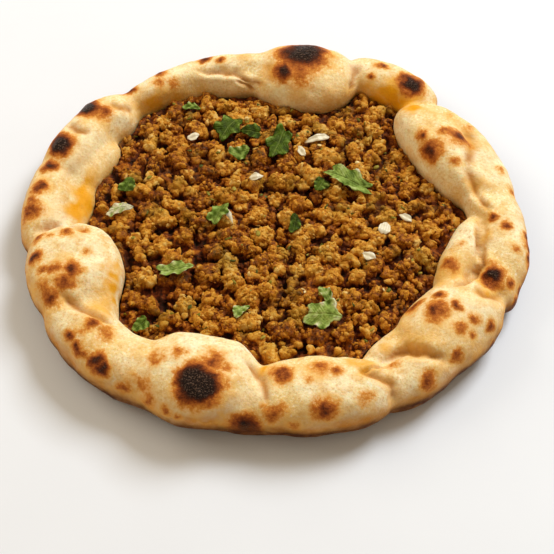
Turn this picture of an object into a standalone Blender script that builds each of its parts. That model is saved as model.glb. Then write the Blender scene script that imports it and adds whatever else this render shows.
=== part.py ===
"""A keema naan: a round leavened flatbread with a puffed and folded rim, filled with a heap of spiced minced
meat, strewn with torn coriander leaves and slivers of onion. Lengths below are in millimetres, and the meshes
are in metres. +Z is up, and the bread lies on z = 0 with the origin at the middle of its underside."""

import math

import bmesh
import bpy
import numpy as np
from mathutils import Matrix, Vector
from mathutils.bvhtree import BVHTree

METRE = 1000.0

# The bread
BREAD_SHIFT = (2.184, -1.545)  # of everything below, which centres the bread's box on the origin
BASE_THICKNESS = 4.5
FOLD_SOFTNESS = 1.3  # how far two puffs melt into one another at their crease
CORE_HEIGHT = 9.0  # of the ring inside the rim that the skin is measured from
CORE_SPREAD = 9.0  # degrees of rim that one puff pulls on that ring
CORE_THICKNESS = 8.0  # half the least thickness of dough round that ring
PUFF_FULLNESS = 2.3  # 2 gives an ellipsoid, more gives a fuller pillow
RIM_SINK = 2.0  # how far a puff is flattened where it lies
UNDERSIDE_RING = 0.6  # a ring on the flat underside, as a share of the rim's foot
BASE_RING = 0.55  # a ring on the base inside, as a share of the inner wall's foot

# Each puff of the rim, clockwise from the far side: x, y, turn of its long axis in degrees,
# half its length, half its width, height of its top
PUFFS = (
    (15, 101.5, -8, 30, 21.5, 30),  # large charred puff at the far side
    (63, 97, -33, 28, 13, 25),  # thin stretch beside it
    (88, 45, -59, 39, 15.5, 30),  # lobe folded in over the filling
    (94, 62, -50, 22, 11, 24),  # band behind that lobe
    (110, 32, -76, 30, 11.5, 25),
    (108, 3, -55, 14, 7, 26),  # twisted neck between the two folds
    (93, -20, 65, 27, 9.5, 25),  # second fold, shaped as a leaf
    (115, -11, 90, 30, 13, 26),  # band behind the second fold
    (108, -34, -72, 17, 10.5, 24),
    (99, -33, 60, 16, 11, 15),  # floor of the hollow at its foot
    (84, -63, 42, 30, 21, 29),  # broad pillow at the near right
    (55, -77, 40, 18, 10, 20),
    (65, -91, 30, 22, 11.5, 24),
    (20, -100.5, 4, 36, 19.5, 28),  # long pillow at the near side
    (-10, -105, 0, 25, 13.5, 24),
    (-37, -93, -10, 30, 24, 31),  # largest puff, with the black blister
    (-66, -86, -35, 20, 15, 26),
    (-85, -74, -45, 36, 16, 27),
    (-101, -31, -75, 27, 25, 30),  # broad lobe at the left, folded in
    (-87, -50, -80, 14, 9.5, 22),  # where that lobe runs out
    (-119, 13, 85, 30, 13, 24),
    (-104, 14, 85, 20, 9, 17),  # low inner slopes of the left side
    (-97, 39, 60, 20, 9, 20),
    (-105.5, 51, 62, 25, 14, 27),
    (-92, 71, 48, 18, 14, 26),
    (-61, 95.5, 32, 30, 9.5, 25),
    (-22, 108, 3, 24, 9, 26),  # outer part of the pleat at the far left
    (-32, 99, -6, 26, 7, 23),  # its inner roll
)

# The filling: a core that fits the hollow of the bread, with the crumbs of meat that show fused on it
FILLING_GAP = 0.7  # between the filling and the bread
FILLING_LEVELS = (5.2, 8.0, 11.0)  # heights at which the core's side is fitted to the rim
FILLING_CROWN = 2.0  # how much higher the crumbs lie in the middle than at the rim
FILLING_RADIUS = 100.0
CRUMB_SIZES = (7.2, 6.2, 5.0, 3.2)  # radii of the crumbs, from the first ones laid to the last
CRUMB_JITTER = (-0.6, 0.9)  # how far a crumb lies lower or higher than its neighbours
CRUMB_PROPORTIONS = (1.0, 1.0, 0.8)
CRUMB_UNEVENNESS = (0.95, 1.15)
CRUMB_ROUGHNESS = 0.115  # how far its corners stand in or out
CRUMB_REACH = 1.2  # how far its corners may reach, as a share of its radius
CRUMB_APART = 0.885  # least distance of two crumbs, as a share of their radii together
CRUMB_TRIES = 9000
CRUMB_SEED = 7
SMALL_CRUMB = 4.5  # below this radius a crumb has twelve faces rather than twenty

# Slivers of onion fused on the filling: x, y, half length, half width, turn in degrees
SLIVERS = (
    (-45, 58.5, 3.4, 2.2, 20),
    (-11, 27.5, 3.2, 2.2, 10),
    (22, 56.5, 6.0, 2.3, 18),
    (13, 46.5, 3.8, 1.8, -60),
    (55, -3.5, 4.2, 2.8, 75),
    (66, 2.5, 4.0, 1.8, -35),
    (46, -22.5, 3.4, 2.3, -30),
    (-24.5, 2.5, 4.2, 1.4, -72),
)
SLIVER_THICKNESS = 1.4
SLIVER_TAPER = 0.85  # its upper face, as a share of its lower one
SLIVER_TILT = 14.0  # degrees

# Torn coriander leaves: x, y, length, width, turn in degrees, and the number of teeth round them
LEAVES = (
    (-47, 80.5, 9, 6, 0, 3),
    (-26, 63.5, 17, 12, 62, 5),
    (-13.5, 62, 11, 7, -10, 3),
    (1, 52.5, 20, 12, 72, 5),
    (-20, 46, 10, 8, 20, 3),
    (-78, 24, 11, 8, 75, 3),
    (-81.5, 8, 13, 6, 5, 3),
    (-30, 4.5, 14, 10, 70, 5),
    (37.5, 26, 25, 12, -24, 7),
    (23, 23.5, 12, 8, 72, 3),
    (9, -2.5, 10, 6, 80, 3),
    (-51, -30.5, 17, 9, 2, 5),
    (22, -58, 17, 13, -12, 5),
    (24, -47, 10, 5, -62, 3),
    (-18, -54.5, 9, 7, 65, 3),
    (-66, -62, 9, 7, 40, 3),
)
LEAF_THICKNESS = 0.6
LEAF_GAP = 0.4  # between a leaf and the crumbs under it
LEAF_TOOTH = 0.17  # how deep the notches between the teeth are, as a share of the leaf's own radius
LEAF_SKEW = 0.4  # how much the leaf narrows to one side, as a share of the notches' depth
LEAF_WAVE = 0.06  # how far the blade bends up and down, as a share of its length
LEAF_SLOPE = 0.25  # how steeply a leaf may lean, as rise over run
LARGE_LEAF = 15.0  # from this length on a leaf has a ring of corners inside its edge too
LEAF_INNER_RING = 0.5  # that ring, as a share of the edge
LEAF_REACH = (0.2, 0.4, 0.6, 0.8, 1.0, 1.08)  # shares of the edge at which the ground under it is felt


def centred(rows):
    """A table's rows with their x and y moved so that the bread's box is centred on the origin."""
    rows = np.array(rows, float)
    rows[:, :2] += BREAD_SHIFT
    return rows


def puff_table():
    """The puffs as arrays: centre, direction of the long axis, and half sizes along, across and up."""
    rows = centred(PUFFS)
    height = rows[:, 5]
    centre = np.stack([rows[:, 0], rows[:, 1], (height - RIM_SINK) / 2], 1)
    turn = np.radians(rows[:, 2])
    half = np.stack([rows[:, 3], rows[:, 4], (height + RIM_SINK) / 2], 1)
    return centre, turn, half


CENTRE, TURN, HALF = puff_table()


def core_radius(bearing):
    """Radius of the ring inside the rim: the mean of the puffs' own radii, weighted by how near they are in
    bearing."""
    own = np.hypot(CENTRE[:, 0], CENTRE[:, 1])
    gap = np.degrees(bearing)[..., None] - np.degrees(np.arctan2(CENTRE[:, 1], CENTRE[:, 0]))
    gap = (gap + 180) % 360 - 180
    weight = np.exp(-((gap / CORE_SPREAD) ** 2) / 2)
    return (weight * own).sum(-1) / weight.sum(-1)


def dough_distance(points):
    """About how far each point lies outside the rim's dough, negative inside it: the smooth least distance to
    any puff and to the ring, where a puff is a pillow whose surface has the power sum of its scaled
    coordinates equal to one."""
    away = points[..., None, :] - CENTRE
    along = away[..., 0] * np.cos(TURN) + away[..., 1] * np.sin(TURN)
    across = away[..., 1] * np.cos(TURN) - away[..., 0] * np.sin(TURN)
    scaled = np.abs(np.stack([along, across, away[..., 2]], -1)) / HALF
    reach = (scaled**PUFF_FULLNESS).sum(-1) ** (1 / PUFF_FULLNESS)
    outside = (reach - 1) * HALF.min(1)
    off_ring = np.hypot(points[..., 0], points[..., 1]) - core_radius(np.arctan2(points[..., 1], points[..., 0]))
    ring = np.hypot(off_ring, points[..., 2] - CORE_HEIGHT) - CORE_THICKNESS
    outside = np.concatenate([outside, ring[..., None]], -1)
    nearest = outside.min(-1)
    spill = np.exp(-(outside - nearest[..., None]) / FOLD_SOFTNESS).sum(-1)
    return nearest - FOLD_SOFTNESS * np.log(spill)


def on_ray(bearing, slant, along):
    """The point so far along a ray from the ring inside the rim."""
    r = core_radius(bearing) + along * np.cos(slant)
    z = CORE_HEIGHT + along * np.sin(slant)
    return np.stack([r * np.cos(bearing), r * np.sin(bearing), z + 0 * r], -1)


def skin_point(bearing, slant, walks=26, corrections=4):
    """Where a ray from the ring inside the rim, at a bearing round the bread and a slant from outwards up
    through the top to inwards, leaves the dough. It walks the ray by the distance that is left, which never
    overshoots, and then corrects by the distance's own slope."""
    along = np.zeros(np.broadcast(bearing, slant).shape)
    for _ in range(walks):
        along = along - dough_distance(on_ray(bearing, slant, along))
    for _ in range(corrections):
        left = dough_distance(on_ray(bearing, slant, along))
        slope = (dough_distance(on_ray(bearing, slant, along + 0.05)) - left) / 0.05
        along = along - np.clip(left / np.maximum(slope, 0.25), -2, 2)
    return on_ray(bearing, slant, along)


def inner_slant(bearing):
    """The slant at which the inner wall of the rim comes down to the base."""
    slants = np.radians(np.linspace(150, 265, 70))
    above = skin_point(bearing[:, None], slants[None, :])[..., 2] - BASE_THICKNESS
    each = np.arange(len(bearing))
    after = np.maximum((above < 0).argmax(1), 1)
    high, low = above[each, after - 1], above[each, after]
    return slants[after - 1] + (slants[after] - slants[after - 1]) * high / (high - low)


def wall_radius(bearing, height, gap, steps=60):
    """Radius at which a level ray from the middle comes within the gap of the dough."""
    r = np.full(np.broadcast(bearing, height).shape, FILLING_RADIUS / 3)
    for _ in range(steps):
        point = np.stack([r * np.cos(bearing), r * np.sin(bearing), height + 0 * r], -1)
        r = r + np.minimum(dough_distance(point) - gap, 4.0)
    return r


def grid_mesh(name, rings, bottom, top):
    """A closed mesh from rings of points, each of the same count, with a point at either end."""
    count = rings.shape[1]
    points = [tuple(p) for p in rings.reshape(-1, 3) / METRE]
    low, high = len(points), len(points) + 1
    points += [tuple(np.array(bottom) / METRE), tuple(np.array(top) / METRE)]
    last = (len(rings) - 1) * count
    faces = []
    for i in range(count):
        j = (i + 1) % count
        faces.append((low, j, i))
        faces.append((high, last + i, last + j))
        for k in range(0, last, count):
            faces.append((k + i, k + j, k + count + j, k + count + i))
    mesh = bpy.data.meshes.new(name)
    mesh.from_pydata(points, [], faces)
    return mesh


def material(name, colour, roughness):
    made = bpy.data.materials.new(name)
    made.use_nodes = True
    shader = made.node_tree.nodes["Principled BSDF"]
    shader.inputs["Base Color"].default_value = (*colour, 1)
    shader.inputs["Roughness"].default_value = roughness
    return made


def placed(name, mesh, finish):
    obj = bpy.data.objects.new(name, mesh)
    obj.data.materials.append(finish)
    bpy.context.scene.collection.objects.link(obj)
    return obj


def build_naan(around=100, over=19):
    """The bread: its flat underside, its rim's skin from the foot over the top to the base, and the base."""
    bearing = np.linspace(0, 2 * math.pi, around, endpoint=False)
    last = inner_slant(bearing)
    share = np.linspace(0, 1, over)[:, None]
    slant = -math.pi / 2 + share * (last + math.pi / 2)
    skin = skin_point(bearing[None, :] + 0 * slant, slant)
    skin[..., 2] = np.maximum(skin[..., 2], 0)
    skin[-1, :, 2] = BASE_THICKNESS
    under = skin[0] * (UNDERSIDE_RING, UNDERSIDE_RING, 0)
    base = skin[-1] * (BASE_RING, BASE_RING, 1)
    rings = np.concatenate([under[None], skin, base[None]])
    mesh = grid_mesh("naan", rings, (0, 0, 0), (0, 0, BASE_THICKNESS))
    return placed("naan", mesh, material("baked dough", (0.86, 0.66, 0.38), 0.75))


def filling_edge(bearing, height):
    """The core's radius there: the least that a level ray clears on either side of its bearing."""
    spread = np.radians((-1.6, -0.8, 0, 0.8, 1.6))
    return wall_radius(bearing[..., None] + spread, height + 0 * spread, FILLING_GAP).min(-1)


def filling_core(around=100):
    """A mesh of the core: a flat top and underside, and a side fitted to the rim."""
    bearing = np.linspace(0, 2 * math.pi, around, endpoint=False)
    rings = []
    for level in FILLING_LEVELS:
        r = filling_edge(bearing, level)
        rings.append(np.stack([r * np.cos(bearing), r * np.sin(bearing), 0 * r + level], -1))
    points = np.concatenate(rings) / METRE
    last = (len(rings) - 1) * around
    faces = [list(range(around))[::-1], list(range(last, last + around))]
    for i in range(around):
        j = (i + 1) % around
        for k in range(0, last, around):
            faces.append((k + i, k + j, k + around + j, k + around + i))
    mesh = bpy.data.meshes.new("core")
    mesh.from_pydata([tuple(p) for p in points], [], faces)
    return mesh


def crumb_places(draw, bread):
    """Crumbs of meat, the largest first, each kept clear of the bread and of most of every crumb before it:
    rows of x, y, height of the middle, and radius."""
    spot = draw.uniform(-FILLING_RADIUS, FILLING_RADIUS, (CRUMB_TRIES, 2))
    distance = np.hypot(*spot.T)
    size_step = np.linspace(0, 1, len(CRUMB_SIZES))
    radius = np.interp(np.linspace(0, 1, CRUMB_TRIES) ** 0.35, size_step, CRUMB_SIZES)
    level = FILLING_LEVELS[-1] + FILLING_CROWN * (1 - distance / FILLING_RADIUS)
    level += draw.uniform(*CRUMB_JITTER, CRUMB_TRIES)
    rows = np.column_stack([spot, level, radius])
    inside = distance < core_radius(np.arctan2(spot[:, 1], spot[:, 0]))
    inside &= dough_distance(rows[:, :3]) > 0
    kept = np.empty((0, 4))
    for row in rows[inside]:
        apart = np.hypot(kept[:, 0] - row[0], kept[:, 1] - row[1]) - CRUMB_APART * (kept[:, 3] + row[3])
        clear = bread.find_nearest(Vector(row[:3]))[3] > CRUMB_REACH * row[3] + FILLING_GAP
        if clear and (apart > 0).all():
            kept = np.vstack([kept, row])
    return kept


def crumb(name, place, half, turn, draw):
    """A rough lump: an icosahedron, or a cube where it is small, with its corners moved in or out."""
    bm = bmesh.new()
    if max(half) < SMALL_CRUMB:
        bmesh.ops.create_cube(bm, size=1.25)
        bmesh.ops.triangulate(bm, faces=bm.faces)
    else:
        bmesh.ops.create_icosphere(bm, subdivisions=1, radius=1.0)
    tip = Matrix.Rotation(turn[2], 3, "Z") @ Matrix.Rotation(turn[1], 3, "Y") @ Matrix.Rotation(turn[0], 3, "X")
    for vert in bm.verts:
        spot = tip @ vert.co * (1 + draw.uniform(-CRUMB_ROUGHNESS, CRUMB_ROUGHNESS))
        vert.co = [(place[i] + half[i] * spot[i]) / METRE for i in range(3)]
    mesh = bpy.data.meshes.new(name)
    bm.to_mesh(mesh)
    bm.free()
    return bpy.data.objects.new(name, mesh)


def sliver(name, place, half_length, half_width, turn):
    """A thin chip with eight sides, tilted and sunk a little into the crumbs."""
    bm = bmesh.new()
    bmesh.ops.create_cone(bm, cap_ends=True, segments=8, radius1=1, radius2=SLIVER_TAPER, depth=1)
    lie = Matrix.Rotation(math.radians(turn), 3, "Z") @ Matrix.Rotation(math.radians(SLIVER_TILT), 3, "X")
    for vert in bm.verts:
        size = Vector((vert.co.x * half_length, vert.co.y * half_width, vert.co.z * SLIVER_THICKNESS))
        vert.co = (Vector(place) + lie @ size) / METRE
    mesh = bpy.data.meshes.new(name)
    bm.to_mesh(mesh)
    bm.free()
    return bpy.data.objects.new(name, mesh)


def on_crumb(places, x, y):
    """Where a sliver lies at x and y: most of the way up the crumb that is nearest for its size."""
    apart = np.hypot(places[:, 0] - x, places[:, 1] - y) / places[:, 3]
    under = places[apart.argmin()]
    rise = 0.75 * under[3] * math.sqrt(max(0.15, 1 - apart.min() ** 2))
    return x, y, under[2] + rise


def join_pieces(core, pieces):
    """Makes the core and the pieces one solid, and removes the pieces."""
    union = core.modifiers.new("joined", "BOOLEAN")
    union.operation = "UNION"
    union.operand_type = "COLLECTION"
    union.collection = pieces
    union.solver = "EXACT"
    graph = bpy.context.evaluated_depsgraph_get()
    joined = bpy.data.meshes.new_from_object(core.evaluated_get(graph))
    core.modifiers.clear()
    core.data = joined
    for piece in list(pieces.objects):
        bpy.data.objects.remove(piece)
    bpy.data.collections.remove(pieces)


def build_keema(bread):
    """The filling: its core, with the crumbs and the slivers joined to it."""
    keema = placed("keema", filling_core(), material("minced meat", (0.36, 0.17, 0.05), 0.55))
    pieces = bpy.data.collections.new("crumbs and slivers")
    bpy.context.scene.collection.children.link(pieces)
    draw = np.random.default_rng(CRUMB_SEED)
    places = crumb_places(draw, bread)
    for n, (x, y, z, r) in enumerate(places):
        half = r * draw.uniform(*CRUMB_UNEVENNESS, 3) * CRUMB_PROPORTIONS
        turn = draw.uniform(0, 2 * math.pi, 3)
        pieces.objects.link(crumb(f"crumb {n}", (x, y, z), half, turn, draw))
    for n, (x, y, half_length, half_width, turn) in enumerate(centred(SLIVERS)):
        pieces.objects.link(sliver(f"sliver {n}", on_crumb(places, x, y), half_length, half_width, turn))
    join_pieces(keema, pieces)
    return keema


def tree_of(*objects):
    """A search tree of the objects' faces together, in millimetres."""
    points, faces = [], []
    for obj in objects:
        first = len(points)
        points += [vert.co * METRE for vert in obj.data.vertices]
        faces += [[first + v for v in face.vertices] for face in obj.data.polygons]
    return BVHTree.FromPolygons(points, faces)


def height_under(tree, x, y):
    """The highest surface at x and y, which a ray from well above the bread finds."""
    return tree.ray_cast(Vector((x, y, 80)), Vector((0, 0, -1)))[0].z


def leaf_frame(row):
    """A leaf's middle, and the directions along and across it in plan."""
    turn = math.radians(row[4])
    return row[:2], np.array((math.cos(turn), math.sin(turn))), np.array((-math.sin(turn), math.cos(turn)))


def leaf_plan(row, n):
    """A leaf's corners in plan, ring by ring from its edge inwards: an oval with rounded teeth."""
    length, width, teeth = row[2], row[3], row[5]
    large = length >= LARGE_LEAF
    count = int(4 * teeth if large else 2 * teeth + 6)
    phi = np.linspace(0, 2 * math.pi, count, endpoint=False)[:, None]
    tooth = 1 + LEAF_TOOTH * (np.cos(teeth * phi + n) - LEAF_SKEW * np.cos(2 * phi + 2 * n))
    middle, along, across = leaf_frame(row)
    edge = tooth * (length / 2 * np.cos(phi) * along + width / 2 * np.sin(phi) * across)
    shares = (1, LEAF_INNER_RING) if large else (1,)
    return middle + np.array([edge * f for f in shares])


def leaf_bend(row, n, plan):
    """How far each corner is bent up or down: raised edges along the midrib and a ripple both ways."""
    middle, along, across = leaf_frame(row)
    u = (plan - middle) @ along / (row[2] / 2)
    v = (plan - middle) @ across / (row[3] / 2)
    ripple = np.sin(2.3 * u + n) + 0.7 * v**2 + 0.5 * np.sin(3.1 * v + 2 * n)
    return LEAF_WAVE * row[2] * ripple


def build_leaf(n, row, tree, finish):
    """A thin bent blade, laid on the crumbs: it follows their slope and is lifted until it clears them."""
    plan = leaf_plan(row, n)
    middle = row[:2]
    edge = np.concatenate([plan[0], (plan[0] + np.roll(plan[0], 1, 0)) / 2])
    spots = np.vstack([middle, *[middle + (edge - middle) * f for f in LEAF_REACH]])
    ground = np.array([height_under(tree, *spot) for spot in spots])
    sides = np.column_stack([spots - middle, np.ones(len(spots))])
    slope = np.clip(np.linalg.lstsq(sides, ground, rcond=None)[0][:2], -LEAF_SLOPE, LEAF_SLOPE)
    lift = (ground - (spots - middle) @ slope - leaf_bend(row, n, spots)).max() + LEAF_GAP
    centre = float(leaf_bend(row, n, middle)) + lift
    height = leaf_bend(row, n, plan) + (plan - middle) @ slope + lift
    lower = np.concatenate([plan, height[..., None]], -1)
    rings = np.concatenate([lower[::-1], lower + (0, 0, LEAF_THICKNESS)])
    mesh = grid_mesh(f"leaf_{n}", rings, (*middle, centre), (*middle, centre + LEAF_THICKNESS))
    split_alike(mesh)
    return placed(f"leaf_{n}", mesh, finish)


def split_alike(mesh):
    """Splits the mesh's faces into triangles, in the same way on both sides of a leaf."""
    bm = bmesh.new()
    bm.from_mesh(mesh)
    bmesh.ops.triangulate(bm, faces=bm.faces, quad_method="FIXED")
    bm.to_mesh(mesh)
    bm.free()


def build_leaves(*ground):
    finish = material("coriander leaf", (0.09, 0.22, 0.04), 0.5)
    tree = tree_of(*ground)
    for n, row in enumerate(centred(LEAVES), 1):
        build_leaf(n, row, tree, finish)


def main():
    for obj in list(bpy.data.objects):
        bpy.data.objects.remove(obj)
    naan = build_naan()
    keema = build_keema(tree_of(naan))
    build_leaves(naan, keema)


main()
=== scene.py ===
"""A keema naan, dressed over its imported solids: a puffed and folded flatbread with a heap of spiced minced meat,
torn coriander leaves and slivers of onion. Lengths in the tables are in millimetres."""

import itertools
import math

import bpy
import numpy as np
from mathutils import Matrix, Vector
from mathutils.bvhtree import BVHTree


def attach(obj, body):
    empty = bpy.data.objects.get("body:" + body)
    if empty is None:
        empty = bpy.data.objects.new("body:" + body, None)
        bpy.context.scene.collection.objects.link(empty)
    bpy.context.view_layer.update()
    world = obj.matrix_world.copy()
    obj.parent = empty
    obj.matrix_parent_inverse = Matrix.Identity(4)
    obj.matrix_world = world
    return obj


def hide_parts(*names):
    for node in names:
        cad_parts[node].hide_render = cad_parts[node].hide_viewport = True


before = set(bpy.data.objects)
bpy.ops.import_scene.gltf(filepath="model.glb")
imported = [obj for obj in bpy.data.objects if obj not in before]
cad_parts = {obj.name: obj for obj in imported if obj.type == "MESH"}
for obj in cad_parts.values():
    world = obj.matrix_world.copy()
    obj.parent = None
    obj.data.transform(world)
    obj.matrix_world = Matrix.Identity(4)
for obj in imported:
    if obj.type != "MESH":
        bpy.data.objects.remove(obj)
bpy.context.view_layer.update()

METRE = 1000.0

# The viewer looks down at the bread at a slant, from its near side, as one does at a table.
VIEW_ANGLE = 24.0  # degrees, both ways
VIEW_DISTANCE = 666.6
VIEW_ELEVATION = 54.66  # degrees above the table
VIEW_AIM = np.array((2.184, -24.595, 0.0))

slope = math.radians(VIEW_ELEVATION)
VIEWER = VIEW_AIM + VIEW_DISTANCE * np.array((0, -math.cos(slope), math.sin(slope)))
lens = bpy.data.cameras.new("lens")
lens.sensor_width = 36.0
lens.lens = lens.sensor_width / 2 / math.tan(math.radians(VIEW_ANGLE) / 2)
camera = bpy.data.objects.new("camera", lens)
bpy.context.scene.collection.objects.link(camera)
camera.location = VIEWER / METRE
camera.rotation_euler = Vector(VIEW_AIM - VIEWER).to_track_quat("-Z", "Y").to_euler()
bpy.context.scene.camera = camera
bpy.context.scene.view_settings.view_transform = "Standard"

# The naan: leavened wheat dough, rolled into a round, its edge folded in over the filling and baked on the
# wall of a very hot oven. The fold puffs up into pillows, and the pillows that come nearest the heat blister
# brown and black. Its skin is a soft wrinkled crust, still floury on top.
BREAD_SHIFT = np.array((2.184, -1.545))
BASE_THICKNESS = 4.5
FOLD_SOFTNESS = 1.0  # how far two puffs melt into one another at their crease
CORE_HEIGHT = 9.0  # of the ring of dough inside the rim
CORE_SPREAD = 9.0  # degrees of rim that one puff pulls on the ring inside it
CORE_THICKNESS = 8.0
PUFF_FULLNESS = 2.3  # 2 is an egg, more is a fuller pillow
RIM_SINK = 2.0  # how far each puff reaches below the table's level, where it is cut flat

# x, y, turn of the long axis in degrees, half length, half width, height of the top
PUFFS = (
    (15, 101.5, -8, 30, 21.5, 30),  # large charred puff at the far side
    (63, 97, -33, 28, 13, 25),  # thin stretch beside it
    (88, 45, -59, 39, 15.5, 30),  # lobe folded in over the filling
    (94, 62, -50, 22, 11, 24),  # band behind that lobe
    (110, 32, -76, 30, 11.5, 25),
    (108, 3, -55, 14, 7, 26),  # twisted neck between the two folds
    (93, -20, 65, 27, 9.5, 25),  # second fold, shaped as a leaf
    (115, -11, 90, 30, 13, 26),  # band behind the second fold
    (108, -34, -72, 17, 10.5, 24),
    (99, -33, 60, 16, 11, 15),  # floor of the hollow at its foot
    (84, -63, 42, 30, 21, 29),  # broad pillow at the near right
    (55, -77, 40, 18, 10, 20),
    (65, -91, 30, 22, 11.5, 24),
    (20, -100.5, 4, 36, 19.5, 28),  # long pillow at the near side
    (-10, -105, 0, 25, 13.5, 24),
    (-37, -93, -10, 30, 24, 31),  # largest puff, with the black blister
    (-66, -86, -35, 20, 15, 26),
    (-85, -74, -45, 36, 16, 27),
    (-101, -31, -75, 27, 25, 30),  # broad lobe at the left, folded in
    (-87, -50, -80, 14, 9.5, 22),  # where that lobe runs out
    (-119, 13, 85, 30, 13, 24),
    (-104, 14, 85, 20, 9, 17),  # low inner slopes of the left side
    (-97, 39, 60, 20, 9, 20),
    (-105.5, 51, 62, 25, 14, 27),
    (-92, 71, 48, 18, 14, 26),
    (-61, 95.5, 32, 30, 9.5, 25),
    (-22, 108, 3, 24, 9, 26),  # outer part of the pleat at the far left
    (-32, 99, -6, 26, 7, 23),  # its inner roll
)


def centred(rows):
    """A table's rows with their x and y moved onto the bread's own middle."""
    rows = np.array(rows, float)
    rows[:, :2] += BREAD_SHIFT
    return rows


puffs = centred(PUFFS)
PUFF_TURN = np.radians(puffs[:, 2])
PUFF_MIDDLE = np.stack([puffs[:, 0], puffs[:, 1], (puffs[:, 5] - RIM_SINK) / 2], 1)
PUFF_HALF = np.stack([puffs[:, 3], puffs[:, 4], (puffs[:, 5] + RIM_SINK) / 2], 1)


def core_radius(bearing):
    """Radius of the ring inside the rim: the mean of the puffs' own, weighted by a bell over their bearing."""
    own = np.hypot(PUFF_MIDDLE[:, 0], PUFF_MIDDLE[:, 1])
    gap = np.degrees(bearing)[..., None] - np.degrees(np.arctan2(PUFF_MIDDLE[:, 1], PUFF_MIDDLE[:, 0]))
    gap = (gap + 180) % 360 - 180
    weight = np.exp(-((gap / CORE_SPREAD) ** 2) / 2)
    return (weight * own).sum(-1) / weight.sum(-1)


def dough_distance(points, ring_radius):
    """About how far each point lies outside the rim's dough, negative inside it: the smooth least distance to
    any puff and to the ring inside the rim, where a puff is a pillow whose surface has the power sum of its
    scaled coordinates equal to one."""
    outside = [np.hypot(np.hypot(points[..., 0], points[..., 1]) - ring_radius, points[..., 2] - CORE_HEIGHT)
               - CORE_THICKNESS]
    for middle, turn, half in zip(PUFF_MIDDLE, PUFF_TURN, PUFF_HALF):
        x, y, z = (points[..., i] - middle[i] for i in range(3))
        along = np.abs(x * math.cos(turn) + y * math.sin(turn)) / half[0]
        across = np.abs(y * math.cos(turn) - x * math.sin(turn)) / half[1]
        up = np.abs(z) / half[2]
        reach = (along**PUFF_FULLNESS + across**PUFF_FULLNESS + up**PUFF_FULLNESS) ** (1 / PUFF_FULLNESS)
        outside.append((reach - 1) * half.min())
    outside = np.stack(outside)
    nearest = outside.min(0)
    spill = np.exp((nearest - outside) / FOLD_SOFTNESS).sum(0)
    return nearest - FOLD_SOFTNESS * np.log(spill)


def polar(bearing, radius, height):
    """Points at these bearings, distances from the middle line and heights."""
    return np.stack([radius * np.cos(bearing), radius * np.sin(bearing), height + 0 * radius * bearing], -1)


def walk_out(bearing, slant, along, walks, corrections):
    """Where a ray from the ring inside the rim leaves the dough, and how long it is. It walks on by the distance
    that is left, and then corrects by that distance's slope."""
    bearing, slant = np.broadcast_arrays(bearing, slant)
    ring = core_radius(bearing)
    start, ahead = polar(bearing, ring, CORE_HEIGHT), polar(bearing, np.cos(slant), np.sin(slant))
    start, ahead, ring = (a.astype(np.float32) for a in (start, ahead, ring))
    along = np.broadcast_to(along, bearing.shape).astype(np.float32)
    for _ in range(walks):
        along = along - dough_distance(start + along[..., None] * ahead, ring)
    for _ in range(corrections):
        left = dough_distance(start + along[..., None] * ahead, ring)
        slope = (dough_distance(start + (along + 0.1)[..., None] * ahead, ring) - left) / 0.1
        along = along - np.clip(left / np.maximum(slope, 0.25), -2, 2)
    return start + along[..., None] * ahead, along


def stretched(coarse, across, down):
    """A grid with so many times as many columns, which close into a ring, and rows, by straight lines."""
    rows, count = coarse.shape
    place = np.arange(count * across) / across
    wide = np.array([np.interp(place, np.arange(count), row, period=count) for row in coarse])
    place = np.arange((rows - 1) * down + 1) / down
    return np.stack([np.interp(place, np.arange(rows), column) for column in wide.T], -1)


def lumps(points, size, seed):
    """Smooth noise from -1 to 1: random numbers on a lattice of this size, blended between the eight nearest
    by the curve 3 t^2 - 2 t^3."""
    table = np.random.default_rng(seed).uniform(-1, 1, (32, 32, 32)).astype(np.float32)
    cell = points / size
    low = np.floor(cell).astype(int)
    t = cell - low
    t = t * t * (3 - 2 * t)
    total = 0
    for corner in itertools.product((0, 1), repeat=3):
        at = (low + corner) % 32
        weight = np.where(corner, t, 1 - t).prod(-1)
        total = total + weight * table[at[..., 0], at[..., 1], at[..., 2]]
    return total


def layered(points, layers, seed, step=1, form=lumps):
    """Layers of noise laid on one another, each with its own height, size and seed."""
    return sum(height * form(points, size, seed + step * i) for i, (height, size) in enumerate(layers))


def unit(ways):
    """The same directions with a length of 1."""
    return ways / np.maximum(np.linalg.norm(ways, axis=-1, keepdims=True), 1e-9)


def outward(rings):
    """The unit normals of a closed grid of rings: the slope round it crossed with the slope over it."""
    return unit(np.cross(np.roll(rings, -1, 1) - np.roll(rings, 1, 1), np.gradient(rings, axis=0)))


def ring_faces(rows, count):
    """The faces of closed rings of points that run downward: four-sided ones between rings, and triangles round
    two more points that close the first ring and the last."""
    here = np.arange(count)
    after = np.roll(here, -1)
    down = np.arange(rows - 1)[:, None] * count
    walls = np.stack([down + here, down + count + here, down + count + after, down + after], -1)
    last, end = (rows - 1) * count, 0 * here + rows * count
    caps = [np.stack([end, here, after], -1), np.stack([end + 1, last + after, last + here], -1)]
    return walls.reshape(-1, 4), np.concatenate(caps)


def mesh_of(name, points, *face_tables):
    """A smooth-shaded mesh from points in millimetres and tables of faces."""
    mesh = bpy.data.meshes.new(name)
    faces = [face for table in face_tables for face in table.tolist()]
    mesh.from_pydata((points / METRE).tolist(), [], faces, shade_flat=False)
    mesh.validate()
    return mesh


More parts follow.
